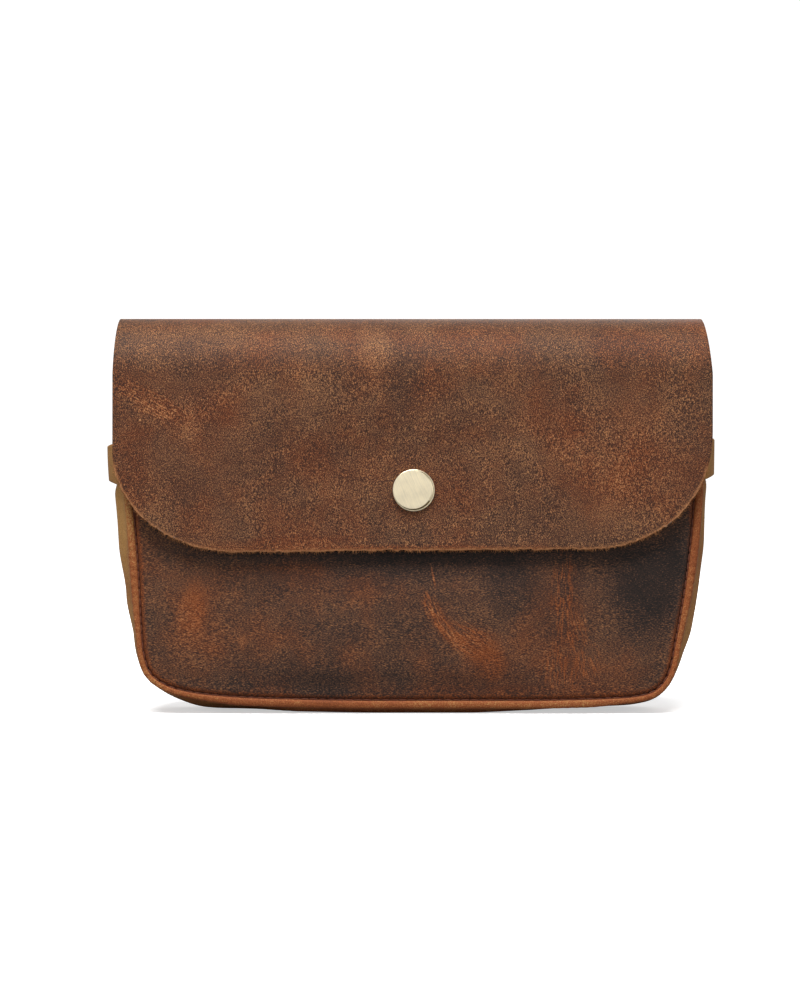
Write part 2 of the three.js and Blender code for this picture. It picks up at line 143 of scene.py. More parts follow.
def seam_at(share):
    """Place and outward direction on the seam line, in the X-Z plane."""
    reach = np.asarray(share) * SEAM_LENGTH
    x, z, way_x, way_z = (np.interp(reach, SEAM_REACH, v) for v in (*SEAM_LINE.T, *SEAM_WAY.T))
    return x, z, way_z, -way_x


def off_seam(share, out, depth):
    """Points at a distance outside the seam line, at a depth."""
    x, z, out_x, out_z = seam_at(share)
    return np.stack(np.broadcast_arrays(x + out_x * out, depth, z + out_z * out), axis=-1)


def corner_share(side):
    """The share of the seam line where a lower corner faces halfway between the side and the base."""
    shares = np.arange(401) / 400
    shares = shares[(shares < 0.5) == (side < 0)]
    _, _, out_x, out_z = seam_at(shares)
    return shares[np.argmin(np.abs(np.abs(out_x) - np.abs(out_z)))]


LEFT_CORNER = corner_share(-1)
RIGHT_CORNER = corner_share(1)


def towards_corner(t):
    return 1 - (1 - t) ** 1.25


def close_at_ends(t):
    return t - 0.6 * np.sin(2 * math.pi * t) / (2 * math.pi)


def seam_shares(side_steps, base_steps):
    """Shares down the left side, along the base and down the right side."""
    t = np.linspace(0, 1, side_steps + 1)
    left = LEFT_CORNER * towards_corner(t)
    right = 1 - (1 - RIGHT_CORNER) * towards_corner(t)
    base = lerp(LEFT_CORNER, RIGHT_CORNER, close_at_ends(np.linspace(0, 1, base_steps + 1)))
    return left, base, right


def filled(bottom, top, left, right):
    """A surface inside four lines of points."""
    u = np.linspace(0, 1, len(bottom))[None, :, None]
    v = np.linspace(0, 1, len(left))[:, None, None]
    sides = (1 - v) * bottom[None] + v * top[None] + (1 - u) * left[:, None] + u * right[:, None]
    ends = (1 - u) * (1 - v) * bottom[0] + u * (1 - v) * bottom[-1] + (1 - u) * v * top[0] + u * v * top[-1]
    return sides - ends


def rim_section(face, inwards, steps=8, tail=4):
    """The turned rim of a panel: distance outside the seam line, depth, and length along the leather."""
    turn = np.linspace(0, math.pi / 2, steps + 1)
    out = -PANEL_RING + PANEL_RIM * squared(np.sin(turn))
    depth = face + inwards * PANEL_RIM * (1 - squared(np.cos(turn)))
    beyond = np.linspace(0, ALLOWANCE, tail + 1)[1:]
    out = np.concatenate([out, np.full(tail, -SEAM_GAP)])
    depth = np.concatenate([depth, face + inwards * (PANEL_RIM + beyond)])
    along = np.concatenate([PANEL_RIM * turn, math.pi / 2 * PANEL_RIM + beyond])
    return out, depth, along


def panel_places(face, inwards, side_steps, base_steps):
    """The middle of a panel and its turned rim, as rows of points."""
    left, base, right = seam_shares(side_steps, base_steps)
    out, depth, along = rim_section(face, inwards)
    ring = [off_seam(shares, out[0], face) for shares in (left[::-1], right[::-1], base)]
    t = close_at_ends(np.linspace(0, 1, base_steps + 1))[:, None]
    top = lerp(ring[0][-1], ring[1][-1], t)
    middle = filled(ring[2], top, ring[0], ring[1])
    around = np.concatenate([left, base[1:-1], right[::-1]])
    rim = off_seam(around[None, :], out[:, None], depth[:, None])
    return middle, rim, around, along


def snap_pull(x, z):
    beside = np.maximum(0, np.abs(x - SNAP_X) - 8) / 32
    above = np.maximum(0, np.abs(z - SNAP_Z) - 8) / 18
    return hill(np.hypot(beside, above))


def from_seam(x, z):
    """How far a place lies inside the seam line."""
    line = SEAM_LINE[::12]
    flat = np.stack([x.ravel(), z.ravel()], axis=1)
    near = [np.sqrt(((part[:, None] - line[None]) ** 2).sum(-1)).min(1) for part in np.array_split(flat, 24)]
    return np.concatenate(near).reshape(x.shape)


def waves(x, z, seed, long=52.0, height=0.3):
    """Slow undulation of a leather surface."""
    dice = np.random.default_rng(seed)
    total = np.zeros_like(x)
    for _ in range(6):
        turn, phase = dice.uniform(0, math.pi), dice.uniform(0, 2 * math.pi)
        length = long * dice.uniform(0.6, 1.5)
        total += np.sin((x * math.cos(turn) + z * math.sin(turn)) * 2 * math.pi / length + phase)
    return total * height / 2.4


def grid_normals(places):
    across = np.gradient(places, axis=1)
    up = np.gradient(places, axis=0)
    normal = np.cross(across, up)
    return normal / np.maximum(np.linalg.norm(normal, axis=-1, keepdims=True), 1e-9)


# The flap's cut outline: widths, heights and roundness of its lower corners
CORNERS = {-1: (44.0, 36.0, 2.0), 1: (45.0, 42.5, 2.15)}
RISE = FOLD_Z - MOUTH
FOLD_LENGTH = math.pi * FOLD_RADIUS


def length_at(z):
    return RISE + FOLD_LENGTH + FOLD_Z - z


def super_curve(t, power):
    return (1 - np.minimum(1, np.abs(t)) ** power) ** (1 / power)


def edge_height(x):
    return 58.2 + 1.2 * smooth((x + CUT_HALF) / (2 * CUT_HALF))


def edge_length(x):
    x = np.asarray(x, float)
    wide, high, power = (np.where(x < 0, a, b) for a, b in zip(CORNERS[-1], CORNERS[1]))
    inset = np.maximum(0, np.abs(x) - (CUT_HALF - wide)) / wide
    return length_at(edge_height(x) + high * (1 - super_curve(inset, power)))


def edge_half(length, side):
    wide, high, power = CORNERS[side]
    start = length_at(edge_height(side * CUT_HALF) + high)
    return CUT_HALF - wide * (1 - super_curve(np.maximum(0, length - start) / high, power))


def flap_places(middle, rim, along, rows):
    """The leather above the mouth: up the back, over the fold and down the front to the cut edge."""
    left, right = rim[:, 0][::-1], rim[:, -1]
    join = np.concatenate([left[:-1], middle[-1], right[1:]])
    ring_half = SEAM_HALF - PANEL_RING
    flat = np.concatenate([-(ring_half + along[::-1][:-1]), middle[-1][:, 0], ring_half + along[1:]])
    halfway = math.sqrt(0.5)
    ends = [side * (CUT_HALF - CORNERS[side][0] * (1 - halfway ** (2 / CORNERS[side][2]))) for side in (-1, 1)]
    end_lengths = [float(edge_length(x)) for x in ends]
    u = (flat + CUT_HALF) / (2 * CUT_HALF)
    edge = lerp(ends[0], ends[1], u)
    full = edge_length(edge)
    v = np.linspace(0, 1, rows + 1)[:, None]
    left_wide = -edge_half(v * end_lengths[0], -1)
    right_wide = edge_half(v * end_lengths[1], 1)
    sides = (1 - u) * (left_wide + (1 - v) * CUT_HALF - v * ends[0])
    others = u * (right_wide - (1 - v) * CUT_HALF - v * ends[1])
    x = (1 - v) * flat + v * edge + sides + others
    length = v * full
    roll = 1 - smooth(length / 18)
    turn = np.clip((length - RISE) / FOLD_RADIUS, 0, math.pi)
    below = np.maximum(0, length - RISE - FOLD_LENGTH)
    out_y, out_z = np.cos(turn), np.sin(turn)
    rising = length < RISE
    out_y, out_z = np.where(rising, 1, out_y), np.where(rising, 0, out_z)
    y = np.where(rising, BACK_Y, MIDDLE_Y + FOLD_RADIUS * out_y)
    z = np.where(rising, MOUTH + length, FOLD_Z + FOLD_RADIUS * out_z - below)
    sink = roll * (BACK_Y - join[:, 1])
    x = x + roll * (join[:, 0] - flat) - np.maximum(0, out_z) * (u * 2 - (1 - u) * 0.8)
    y = y - sink * out_y
    z = z - sink * out_z + roll * (join[:, 2] - MOUTH)
    front = smooth(-out_y * 2)
    y = y + front * 1.4 * snap_pull(x, z)
    places = np.stack([x, y, z], axis=-1)
    spread = np.stack([x, length], axis=-1)
    return places, spread, front


def gusset_places(shares, tail=4, steps=14, span=26):
    """The gusset's section at each share of the seam line, and the distance to the nearer seam."""
    along = shares[None, :]
    x, z, _, _ = seam_at(along)
    bulge = lerp(SEAM_FLOOR, SIDE_BULGE, eased(SWELL_ROWS, along))
    crease = 5.3 * smooth((z - np.where(x < 0, MOUTH - 34, MOUTH - 54)) / 22)
    ramp = lerp(0.1, 0.36, smooth((np.abs(x) - 38) / 26))
    middle, half = (FRONT_Y + BACK_Y) / 2, (BACK_Y - FRONT_Y) / 2
    beyond = np.linspace(ALLOWANCE, 0, tail + 1)[:-1, None]
    turn = np.linspace(0, math.pi, steps + 1)[:, None]
    t = np.linspace(0, 1, span + 1)[1:-1, None]
    depth_span = lerp(-1, 1, t) * (half - GUSSET_RIM)
    rim = GUSSET_RIM * (1 - 0.3 * smooth((np.abs(x) - 62) / 18) * (1 - smooth((z - 24) / 30)))
    rim_top = SEAM_GAP + 2 * rim
    out_span = rim_top + (bulge - rim_top) * smooth(np.minimum(t, 1 - t) / ramp)
    out_span = out_span - crease * hill(depth_span / 6.9)
    ones = np.ones_like(along)
    out_rim = np.concatenate([SEAM_GAP + 0 * beyond * ones, SEAM_GAP + rim * (1 - squared(np.cos(turn)))])
    depth_rim = np.concatenate([rim + beyond, rim * (1 - squared(np.sin(turn)))]) - half
    out = np.concatenate([out_rim, out_span, out_rim[::-1]])
    depth = np.concatenate([depth_rim, depth_span * ones, -depth_rim[::-1]])
    rim_near = np.concatenate([0 * beyond * ones, SEAM_GAP + rim * (1 - np.cos(turn))])
    span_near = rim_top + (half - GUSSET_RIM) * (1 - np.abs(2 * t - 1))
    near = np.concatenate([rim_near, span_near, rim_near[::-1]])
    return off_seam(along, out, depth + middle), near


def loop_places(side, reach, drop, rows=16):
    """One side loop's outer face, from the front seam round the gusset to the back seam."""
    wrap = GUSSET_RIM + GAP + LOOP_LEATHER / 2
    turn = np.radians(np.linspace(145, 30, 13))
    arc_out = SEAM_GAP + GUSSET_RIM + wrap * np.cos(turn)
    arc_depth = FRONT_Y + GUSSET_RIM - wrap * np.sin(turn)
    middle = (FRONT_Y + BACK_Y) / 2
    t = np.linspace(0, 1, 19)
    bow_out = lerp(arc_out[-1], reach - LOOP_LEATHER / 2, np.sin(t * math.pi / 2))
    bow_depth = lerp(arc_depth[-1], middle, t)
    out = np.concatenate([arc_out, bow_out[1:]])
    depth = np.concatenate([arc_depth, bow_depth[1:]])
    out = np.concatenate([out, out[::-1][1:]])
    depth = np.concatenate([depth, 2 * middle - depth[::-1][1:]])
    way = np.stack([np.gradient(out), np.gradient(depth)], axis=1)
    way /= np.linalg.norm(way, axis=1)[:, None]
    out = out + way[:, 1] * LOOP_LEATHER / 2
    depth = depth - way[:, 0] * LOOP_LEATHER / 2
    bow = np.sin(np.linspace(0, math.pi, len(out)))
    height = lerp(16.8, 12.6, bow**2)
    z = MOUTH - drop + 0.5 * bow**2 + np.linspace(-0.5, 0.5, rows + 1)[:, None] * height[None, :]
    shares = np.linspace(0, LEFT_CORNER, 400) if side < 0 else np.linspace(1, RIGHT_CORNER, 400)
    seam_x, seam_z, _, _ = seam_at(shares)
    half = np.abs(np.interp(z.ravel(), seam_z[::-1], seam_x[::-1])).reshape(z.shape)
    return np.stack([side * (half + out[None, :]), np.broadcast_to(depth, z.shape), z], axis=-1)


# Making meshes


def linear(value):
    """An sRGB hex colour as linear RGBA."""
    parts = [int(value[i:i + 2], 16) / 255 for i in (1, 3, 5)]
    return [*(c / 12.92 if c <= 0.04045 else ((c + 0.055) / 1.055) ** 2.4 for c in parts), 1.0]


def deselect():
    if bpy.context.object and bpy.context.object.mode != "OBJECT":
        bpy.ops.object.mode_set(mode="OBJECT")
    bpy.ops.object.select_all(action="DESELECT")


def laid_grid(name, places, uv, **marks):
    """Adds a grid and lays its corners on rows of places in millimetres, with a UV map in millimetres."""
    rows, columns = places.shape[:2]
    deselect()
    bpy.ops.mesh.primitive_grid_add(
        x_subdivisions=columns - 1, y_subdivisions=rows - 1, size=2, location=(0, 0, 0))
    piece = bpy.context.object
    piece.name = piece.data.name = name
    mesh = piece.data
    at = np.empty(len(mesh.vertices) * 3, np.float32)
    mesh.vertices.foreach_get("co", at)
    at = at.reshape(-1, 3)
    column = np.rint((at[:, 0] + 1) / 2 * (columns - 1)).astype(int)
    row = np.rint((at[:, 1] + 1) / 2 * (rows - 1)).astype(int)
    mesh.vertices.foreach_set("co", (places[row, column] * MM).astype(np.float32).ravel())
    corner = np.empty(len(mesh.loops), np.int32)
    mesh.loops.foreach_get("vertex_index", corner)
    mesh.uv_layers.active.data.foreach_set("uv", uv[row, column][corner].astype(np.float32).ravel())
    for mark, values in marks.items():
        layer = mesh.attributes.new(mark, "FLOAT", "POINT")
        layer.data.foreach_set("value", values[row, column].astype(np.float32))
    mesh.update()
    return piece


def one_piece(parts, name, inside=(0, 0, 0.06)):
    """Joins grids along their shared lines, with every face turned away from the inside of the pouch."""
    deselect()
    for part in parts:
        part.select_set(True)
    bpy.context.view_layer.objects.active = parts[0]
    if len(parts) > 1:
        bpy.ops.object.join()
    piece = bpy.context.object
    piece.name = piece.data.name = name
    bpy.ops.object.mode_set(mode="EDIT")
    bpy.ops.mesh.select_all(action="SELECT")
    bpy.ops.mesh.remove_doubles(threshold=0.00002)
    bpy.ops.mesh.normals_make_consistent(inside=False)
    bpy.ops.object.mode_set(mode="OBJECT")
    centre = Vector(inside)
    facing = sum(f.area * f.normal.dot(f.center - centre) for f in piece.data.polygons)
    if facing < 0:
        bpy.ops.object.mode_set(mode="EDIT")
        bpy.ops.mesh.select_all(action="SELECT")
        bpy.ops.mesh.flip_normals()
        bpy.ops.object.mode_set(mode="OBJECT")
    return piece


def modified(piece, kind, **settings):
    """Adds a modifier and applies it."""
    bpy.context.view_layer.objects.active = piece
    bpy.ops.object.modifier_add(type=kind)
    modifier = piece.modifiers[-1]
    for key, value in settings.items():
        setattr(modifier, key, value)
    bpy.ops.object.modifier_apply(modifier=modifier.name)


def leather_piece(piece, thickness, faces, round_edge=0.25 * MM):
    """Gives a face its leather thickness towards the flesh side, and softens the cut edges."""
    area = sum(f.area for f in piece.data.polygons)
    for material in faces:
        piece.data.materials.append(material)
    modified(piece, "SOLIDIFY", thickness=thickness, offset=-1, use_even_offset=True,
             thickness_clamp=0.6, material_offset=1, material_offset_rim=2)
    modified(piece, "BEVEL", width=round_edge, segments=1, limit_method="ANGLE",
             angle_limit=math.radians(62), harden_normals=False)
    deselect()
    piece.select_set(True)
    bpy.context.view_layer.objects.active = piece
    bpy.ops.object.shade_smooth_by_angle(angle=math.radians(50))
    return area


def dressed(piece, slot, *nodes):
    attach(piece, "root")
    if nodes:
        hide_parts(*nodes)
    return piece


def many(name, parts):
    """One mesh from many small shapes, each given as corners in millimetres and faces."""
    mesh = bpy.data.meshes.new(name)
    corners, faces, start = [], [], 0
    for places, sides in parts:
        corners.extend((places * MM).tolist())
        faces.extend([[start + i for i in side] for side in sides])
        start += len(places)
    mesh.from_pydata(corners, [], faces)
    mesh.validate()
    piece = bpy.data.objects.new(name, mesh)
    bpy.context.scene.collection.objects.link(piece)
    deselect()
    piece.select_set(True)
    bpy.context.view_layer.objects.active = piece
    bpy.ops.object.shade_smooth()
    return piece


# Materials


def add_node(tree, kind, inputs=None, stops=None, **settings):
    """Adds a node with its settings, values and links. stops are a colour ramp's places and colours."""
    made = tree.nodes.new(kind)
    for key, value in settings.items():
        setattr(made, key, value)
    for key, value in (inputs or {}).items():
        if isinstance(value, bpy.types.NodeSocket):
            tree.links.new(value, made.inputs[key])
        else:
            made.inputs[key].default_value = value
    if stops:
        ramp = made.color_ramp
        while len(ramp.elements) < len(stops):
            ramp.elements.new(0.5)
        for element, (place, colour) in zip(ramp.elements, stops):
            element.position = place
            element.color = colour
    return made


def new_material(name):
    material = bpy.data.materials.new(name)
    material.use_nodes = True
    tree = material.node_tree
    tree.nodes.clear()
    shader = add_node(tree, "ShaderNodeBsdfPrincipled")
    add_node(tree, "ShaderNodeOutputMaterial", {"Surface": shader.outputs[0]})
    return material, tree, shader


def noise(tree, coords, size_mm, detail=3.0, rough=0.55, stretch=(1, 1, 1), kind="FBM", bend=0.0):
    """Noise whose blotches are size_mm across on the real piece."""
    put = add_node(tree, "ShaderNodeMapping", {"Vector": coords, "Scale": stretch})
    made = add_node(tree, "ShaderNodeTexNoise", {"Vector": put.outputs[0], "Scale": 1 / (size_mm * MM),
                    "Detail": detail, "Roughness": rough, "Distortion": bend}, noise_type=kind)
    return made.outputs[0]


def ranged(tree, value, low, high, to_low=0.0, to_high=1.0, curve="SMOOTHSTEP"):
    made = add_node(tree, "ShaderNodeMapRange", {0: value, 1: low, 2: high, 3: to_low, 4: to_high},
                    interpolation_type=curve)
    return made.outputs[0]


def weighed(tree, value, weight, total):
    """total plus value times weight."""
    return add_node(tree, "ShaderNodeMath", {0: value, 1: weight, 2: total}, operation="MULTIPLY_ADD").outputs[0]


def product(tree, a, b):
    return add_node(tree, "ShaderNodeMath", {0: a, 1: b}, operation="MULTIPLY").outputs[0]


def mixed(tree, share, a, b):
    made = add_node(tree, "ShaderNodeMix", {0: share, 6: a, 7: b}, data_type="RGBA", clamp_factor=True)
    return made.outputs[2]


def patch(tree, coords, centre, radii, turn=0.0, core=0.25):
    """1 inside a soft-edged oval patch placed on the piece, 0 outside it. Millimetres and degrees."""
    put = add_node(tree, "ShaderNodeMapping", {"Vector": coords, "Location": [c * MM for c in centre],
                   "Rotation": (0, math.radians(turn), 0), "Scale": [r * MM for r in radii]},
                   vector_type="TEXTURE")
    far = add_node(tree, "ShaderNodeVectorMath", {0: put.outputs[0]}, operation="LENGTH").outputs["Value"]
    return ranged(tree, far, core, 1.0, 1.0, 0.0)


def marked(tree, name):
    return add_node(tree, "ShaderNodeAttribute", attribute_name=name, attribute_type="GEOMETRY").outputs["Fac"]


def streaks(tree, coords, slant):
    """Fine stretched lines that run at a slant, as creased or scratched hide has. 1 on a line, 0 between."""
    turned = add_node(tree, "ShaderNodeMapping", {"Vector": coords, "Rotation": (0, math.radians(slant), 0)})
    lines = noise(tree, turned.outputs[0], 0.55, 1.5, 0.5, (0.1, 1, 1), bend=0.3)
    return ranged(tree, lines, 0.47, 0.62)


def oiled_leather(name, tones, red_tones, base, marks=(), grain=(1, 1, 1), contrast=1.0, drift=0.5, seam=None,
                  edge=None, redness=0.5, shine=0.3):
    """Oiled pull-up leather: waxes darken it, and where it is bent or rubbed the lighter hide shows.
    tones and red_tones are its colours from waxed to rubbed, and marks are patches that wear has changed, with some
    that are painted shade, such as the front panel's painted shadow under the flap:
    centre, radii, turn, how much lighter, how much redder, and the slant of its fine lines where it has them."""
    material, tree, shader = new_material(name)
    coords = add_node(tree, "ShaderNodeTexCoord").outputs["Object"]
    speckle = noise(tree, coords, 0.52, 2.0, 0.6, grain)
    fine = noise(tree, coords, 0.3, 1.0, 0.5, grain)
    clouds = noise(tree, coords, 11.0, 3.5, 0.6)
    areas = noise(tree, coords, 42.0, 3.0, 0.5)
    level = base - 0.5 * (3.05 * contrast + 2 * drift)
    tone = weighed(tree, speckle, 0.85 * contrast, level)
    tone = weighed(tree, fine, 2.2 * contrast, tone)
    tone = weighed(tree, clouds, drift, tone)
    tone = weighed(tree, areas, drift, tone)
    red = ranged(tree, noise(tree, coords, 24.0, 3.0, 0.6), 0.36, 0.68, 0.0, redness)
    for centre, radii, turn, lift, reddening, slant in marks:
        spot = patch(tree, coords, centre, radii, turn)
        if slant is not None:
            spot = product(tree, spot, streaks(tree, coords, slant))
        tone = weighed(tree, spot, lift, tone)
        red = weighed(tree, spot, reddening, red)
    if seam:
        lift, reddening, groove_colour, groove_ends, warm_ends = seam
        near = marked(tree, "seam_mm")
        warm = ranged(tree, near, *warm_ends, 1.0, 0.0)
        tone = weighed(tree, warm, lift, tone)
        red = weighed(tree, warm, reddening, red)
    colour = mixed(tree, red, add_node(tree, "ShaderNodeValToRGB", {0: tone}, tones).outputs[0],
                   add_node(tree, "ShaderNodeValToRGB", {0: tone}, red_tones).outputs[0])
    if seam:
        colour = mixed(tree, ranged(tree, near, *groove_ends, 1.0, 0.0), colour, groove_colour)
    if edge:
        rubbed = weighed(tree, fine, 2.2, weighed(tree, speckle, 2.2, marked(tree, "edge_mm")))
        colour = mixed(tree, ranged(tree, rubbed, 2.1, 3.0, edge[0], 0.0), colour, edge[1])
    tree.links.new(colour, shader.inputs["Base Color"])
    tree.links.new(ranged(tree, tone, 0.1, 0.9, 0.56, 0.74, "LINEAR"), shader.inputs["Roughness"])
    relief = weighed(tree, fine, 0.5, weighed(tree, clouds, 2.0, speckle))
    bump = add_node(tree, "ShaderNodeBump", {"Strength": 0.6, "Distance": 0.00016, "Height": relief})
    tree.links.new(bump.outputs[0], shader.inputs["Normal"])
    shader.inputs["Specular IOR Level"].default_value = shine
    shader.inputs["Sheen Weight"].default_value = 0.012
    shader.inputs["Sheen Roughness"].default_value = 0.5
    return material


def ramp_of(*colours):
    """Colours from waxed to rubbed, spread over a ramp."""
    places = (0.12, 0.38, 0.6, 0.86)
    return [(place, tuple(colour)) for place, colour in zip(places, colours)]


def flesh_side(colour):
    """Suede flesh side: short brushed nap that scatters light."""
    material, tree, shader = new_material("suede_flesh_side")
    coords = add_node(tree, "ShaderNodeTexCoord").outputs["Object"]
    nap = noise(tree, coords, 0.7, 4.0, 0.7)
    clouds = noise(tree, coords, 16.0, 3.0)
    tone = weighed(tree, clouds, 0.6, weighed(tree, nap, 0.9, -0.25))
    dark = [c * 0.55 for c in colour[:3]] + [1]
    light = [min(1, c * 1.45) for c in colour[:3]] + [1]
    made = add_node(tree, "ShaderNodeValToRGB", {0: tone}, [(0.2, dark), (0.55, tuple(colour)), (0.9, light)])
    tree.links.new(made.outputs[0], shader.inputs["Base Color"])
    bump = add_node(tree, "ShaderNodeBump", {"Strength": 0.7, "Distance": 0.0002, "Height": nap})
    tree.links.new(bump.outputs[0], shader.inputs["Normal"])
    shader.inputs["Roughness"].default_value = 0.92
    shader.inputs["Specular IOR Level"].default_value = 0.2
    shader.inputs["Sheen Weight"].default_value = 0.2
    return material


def cut_edge(name, light, dark):
    """Raw cut edge: undyed fibres in the middle of the hide, a shade lighter than the faces."""
    material, tree, shader = new_material(name)
    coords = add_node(tree, "ShaderNodeTexCoord").outputs["Object"]
    fibres = noise(tree, coords, 0.6, 4.0, 0.7)
    stains = noise(tree, coords, 7.0, 3.0)
    tone = weighed(tree, stains, 0.8, weighed(tree, fibres, 0.9, -0.35))
    made = add_node(tree, "ShaderNodeValToRGB", {0: tone}, [(0.2, tuple(dark)), (0.75, tuple(light))])
    tree.links.new(made.outputs[0], shader.inputs["Base Color"])
    bump = add_node(tree, "ShaderNodeBump", {"Strength": 0.8, "Distance": 0.00025, "Height": fibres})
    tree.links.new(bump.outputs[0], shader.inputs["Normal"])
    shader.inputs["Roughness"].default_value = 0.9
    shader.inputs["Specular IOR Level"].default_value = 0.2
    return material


def waxed_thread(colour):
    """Waxed linen thread: matt and dark, with a faint twist."""
    material, tree, shader = new_material("waxed_linen_thread")
    coords = add_node(tree, "ShaderNodeTexCoord").outputs["Object"]
    twist = noise(tree, coords, 0.5, 2.0)
    dark = [c * 0.5 for c in colour[:3]] + [1]
    made = add_node(tree, "ShaderNodeValToRGB", {0: twist}, [(0.35, dark), (0.7, tuple(colour))])
    tree.links.new(made.outputs[0], shader.inputs["Base Color"])
    shader.inputs["Roughness"].default_value = 0.7
    return material


def brass(name, bright, dark, rough, lines=None):
    """Brass: lines is the slant in degrees of the brush strokes on a brushed face, and none on a tumbled one."""
    material, tree, shader = new_material(name)
    coords = add_node(tree, "ShaderNodeTexCoord").outputs["Object"]
    if lines is None:
        strokes = noise(tree, coords, 0.8, 3.0)
    else:
        turned = add_node(tree, "ShaderNodeMapping", {"Vector": coords, "Rotation": (0, math.radians(lines), 0)})
        strokes = noise(tree, turned.outputs[0], 0.34, 3.0, 0.7, (1, 0.05, 0.05))
    stain = noise(tree, coords, 4.0, 3.0)
    tone = weighed(tree, strokes, 1.0, weighed(tree, stain, 0.7, -0.35))
    made = add_node(tree, "ShaderNodeValToRGB", {0: tone}, [(0.2, tuple(dark)), (0.75, tuple(bright))])
    tree.links.new(made.outputs[0], shader.inputs["Base Color"])
    tree.links.new(ranged(tree, strokes, 0.3, 0.7, rough - 0.07, rough + 0.09, "LINEAR"), shader.inputs["Roughness"])
    bump = add_node(tree, "ShaderNodeBump", {"Strength": 0.35, "Distance": 0.00004, "Height": strokes})
    tree.links.new(bump.outputs[0], shader.inputs["Normal"])
    shader.inputs["Metallic"].default_value = 1.0
    return material


# What a user would change


def length_property(name, description, default):
    return bpy.props.FloatProperty(name=name, description=description, default=default, min=0.0,
                                   unit="LENGTH", subtype="DISTANCE", precision=5)


def colour_property(name, description, default):
    return bpy.props.FloatVectorProperty(name=name, description=description, default=linear(default), size=4,
                                         min=0.0, max=1.0, subtype="COLOR")


class PouchSizes(bpy.types.PropertyGroup):
    panel_leather: length_property("Panel leather", "Thickness of the back, flap and front leather", 0.0017)
    gusset_leather: length_property("Gusset leather", "Thickness of the gusset leather", 0.0013)
    loop_leather: length_property("Loop leather", "Thickness of the side loops", 0.0016)
    left_reach: length_property("Left loop reach", "How far the left loop stands out from the seam", 0.0099)
    right_reach: length_property("Right loop reach", "How far the right loop stands out from the seam", 0.00895)
    pucker: length_property("Pucker depth", "Depth of the small puckers that the stitches draw", 0.00013)
    stitch: length_property("Stitch length", "Spacing of the stitches in the seams", 0.0032)
    fibre: length_property("Fibre length", "Longest loose fibre on the flap's cut edge", 0.0019)
    fibres: bpy.props.IntProperty(name="Fibres", description="How many loose fibres the cut edge has",
                                  default=2200, min=0)
    cap_radius: length_property("Cap radius", "Radius of the snap's cap", 0.0075)
    cap_lean: bpy.props.FloatProperty(name="Cap lean", description="How far the cap's face leans up and left",
                                      default=math.radians(2.5), unit="ROTATION", subtype="ANGLE")


class PouchColours(bpy.types.PropertyGroup):
    waxed: colour_property("Waxed brown", "Darkest, waxed tone of the flap", "#30211A")
    brown: colour_property("Brown", "Main tone of the flap", "#573C2E")
    pulled: colour_property("Pulled brown", "Tone of the flap where the wax has moved", "#885B3C")
    worn: colour_property("Worn brown", "Lightest tone of the flap", "#AC7B50")
    red: colour_property("Red brown", "Reddish tone where the hide is scuffed", "#874A2C")
    front_dark: colour_property("Front dark", "Waxed tone of the front panel", "#1F1A18")
    front: colour_property("Front brown", "Main tone of the front panel", "#443027")
    front_worn: colour_property("Front worn", "Scuffed tone of the front panel", "#8E4C28")
    tan: colour_property("Tan", "Main tone of the gusset", "#9A6C3A")
    tan_light: colour_property("Light tan", "Stretched tone of the gusset", "#B98D55")
    seam: colour_property("Seam", "Tone of the leather inside the seam", "#5C2A14")
    seam_red: colour_property("Seam red", "Tone of the leather beside the seam", "#8E4D2A")
    thread: colour_property("Thread", "Tone of the stitches", "#6E351A")
    fibre: colour_property("Cut edge", "Tone of the raw cut edge", "#B07A50")
    suede: colour_property("Flesh side", "Tone of the leather's flesh side", "#7A5538")
    brass: colour_property("Brass", "Pale brass of the cap", "#FFF0CE")
    inner_brass: colour_property("Inner brass", "Dull brass of the hidden parts", "#A8925C")


def shades(colour, amount):
    return tuple(min(1.0, c * amount) for c in colour[:3]) + (1.0,)


def flap_leather():
    c = bpy.context.scene.pouch_colours
    marks = (
        ((-92.5, -22, 110.5), (18, 14, 6), 27, 0.34, 1.0, -27),
        ((-90, -22, 110), (18, 14, 6), 27, -0.02, 0.45, None),
        ((-13.5, -18, 131), (9, 16, 14), -4, 0.17, -0.5, None),
        ((-40, -18, 132), (16, 16, 10), 0, -0.04, -0.6, None),
        ((-79.5, -22, 101.8), (6, 12, 8), 0, 0.1, -0.3, None),
        ((-97.3, -22, 105.4), (0.55, 4, 0.55), 0, 1.6, -1.0, None),
        ((-3, -22, 122), (10, 14, 16), 4, -0.06, 0.0, None),
        ((-30, -22, 92), (22, 14, 12), 12, -0.05, 0.0, None),
        ((72, -22, 98), (34, 14, 24), -20, 0.05, 0.35, None),
        ((-52, -22, 61), (50, 14, 3.2), -3, 0.02, 0.5, None),
        ((0, -22, 59), (104, 14, 2.4), 0, 0.05, 0.8, None),
        ((-62, -20, 126), (34, 16, 7), -4, -0.06, 0.1, None),
        ((0, -12, 143), (130, 11, 9), 0, -0.05, -0.6, None),
        ((-80, -22, 104), (46, 16, 44), 0, -0.05, 0.2, None),
    )
    tones = ramp_of(c.waxed, c.brown, c.pulled, c.worn)
    red_tones = ramp_of(shades(c.waxed, 1.1), shades(c.red, 0.5), c.red, shades(c.worn, 1.0))
    return oiled_leather("oiled_pull_up_flap_leather", tones, red_tones, 0.325, marks, (1.25, 1, 0.75), 1.02, 0.31,
                         edge=(0.9, c.fibre), redness=0.8, shine=0.14)


